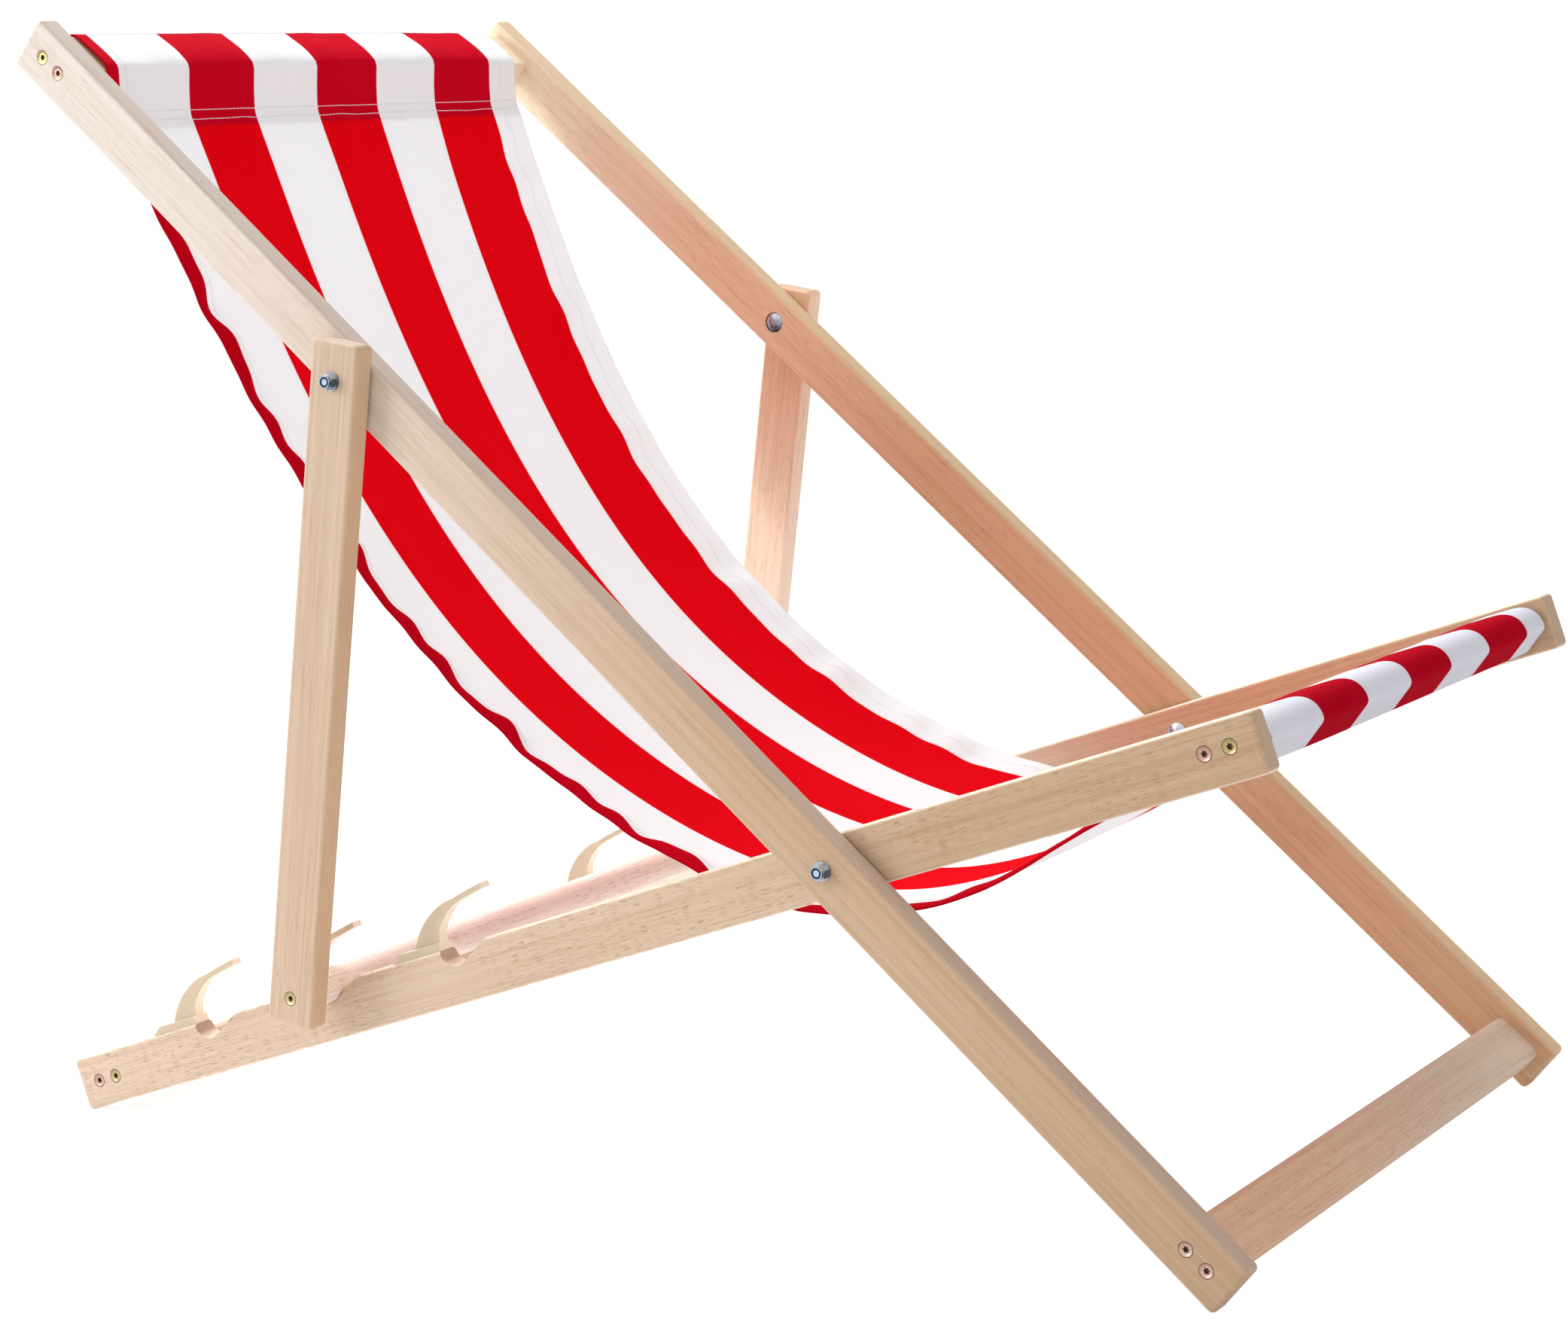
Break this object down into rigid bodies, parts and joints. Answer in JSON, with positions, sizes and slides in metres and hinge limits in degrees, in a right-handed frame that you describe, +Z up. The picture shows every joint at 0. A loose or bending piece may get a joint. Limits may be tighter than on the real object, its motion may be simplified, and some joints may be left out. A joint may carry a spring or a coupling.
{
  "type": "deck chair",
  "caption": "Folding wooden deck chair with a hanging striped canvas seat and a notched recline prop.",
  "frame": {"origin": "on the floor under the middle of the frame, at the middle of the bottom of its box", "axes": "+Z up, the front of the seat faces -Y, +X to the sitter's left"},
  "size_m": [0.6054, 0.9988, 0.8143],
  "materials": {
    "beech": "bare planed beech",
    "canvas": "woven cotton canvas in red and white stripes",
    "zinc": "bright zinc plate",
    "screws": "yellow passivated zinc",
    "nylon": "dark blue nylon",
    "hooks": "moulded ivory plastic"
  },
  "bodies": {
    "long_frame": {"bottom_slat": "beech", "bottom_slat_screws_left": "screws", "bottom_slat_screws_right": "screws", "canvas_seat": "canvas", "long_rail_left": "beech", "long_rail_right": "beech", "prop_bolt_left": "zinc", "prop_bolt_nut_left": "zinc", "prop_bolt_nut_right": "zinc", "prop_bolt_nut_ring_left": "nylon", "prop_bolt_nut_ring_right": "nylon", "prop_bolt_right": "zinc", "prop_bolt_spacer_left": "zinc", "prop_bolt_spacer_right": "zinc", "prop_bolt_washer_left": "zinc", "prop_bolt_washer_right": "zinc", "top_crossbar": "beech", "top_crossbar_screws_left": "screws", "top_crossbar_screws_right": "screws"},
    "seat_frame": {"front_crossbar": "beech", "front_crossbar_screws_left": "screws", "front_crossbar_screws_right": "screws", "main_bolt_left": "zinc", "main_bolt_nut_left": "zinc", "main_bolt_nut_right": "zinc", "main_bolt_nut_ring_left": "nylon", "main_bolt_nut_ring_right": "nylon", "main_bolt_right": "zinc", "main_bolt_spacer_left": "zinc", "main_bolt_spacer_right": "zinc", "main_bolt_washer_left": "zinc", "main_bolt_washer_right": "zinc", "notch_hook_1_left": "hooks", "notch_hook_1_right": "hooks", "notch_hook_2_left": "hooks", "notch_hook_2_right": "hooks", "notch_hook_3_left": "hooks", "notch_hook_3_right": "hooks", "rear_crossbar": "beech", "rear_crossbar_screws_left": "screws", "rear_crossbar_screws_right": "screws", "seat_rail_left": "beech", "seat_rail_right": "beech"},
    "prop_frame": {"dowel_screw_left": "screws", "dowel_screw_right": "screws", "prop_dowel": "beech", "prop_left": "beech", "prop_right": "beech"}
  },
  "joints": [
    {"name": "frame_fold", "type": "hinge", "parent": "long_frame", "child": "seat_frame", "pos_m": [0, -0.19402, 0.2526], "axis": [-1, 0, 0], "range_deg": [0, 20], "deforming": ["canvas_seat"]},
    {"name": "prop_swing", "type": "hinge", "parent": "long_frame", "child": "prop_frame", "pos_m": [0, 0.17471, 0.56303], "axis": [-1, 0, 0], "range_deg": [0, 21.3]}
  ],
  "couplings": [
    {"joint": "prop_swing", "follows": "frame_fold", "ratio": 1.06}
  ]
}
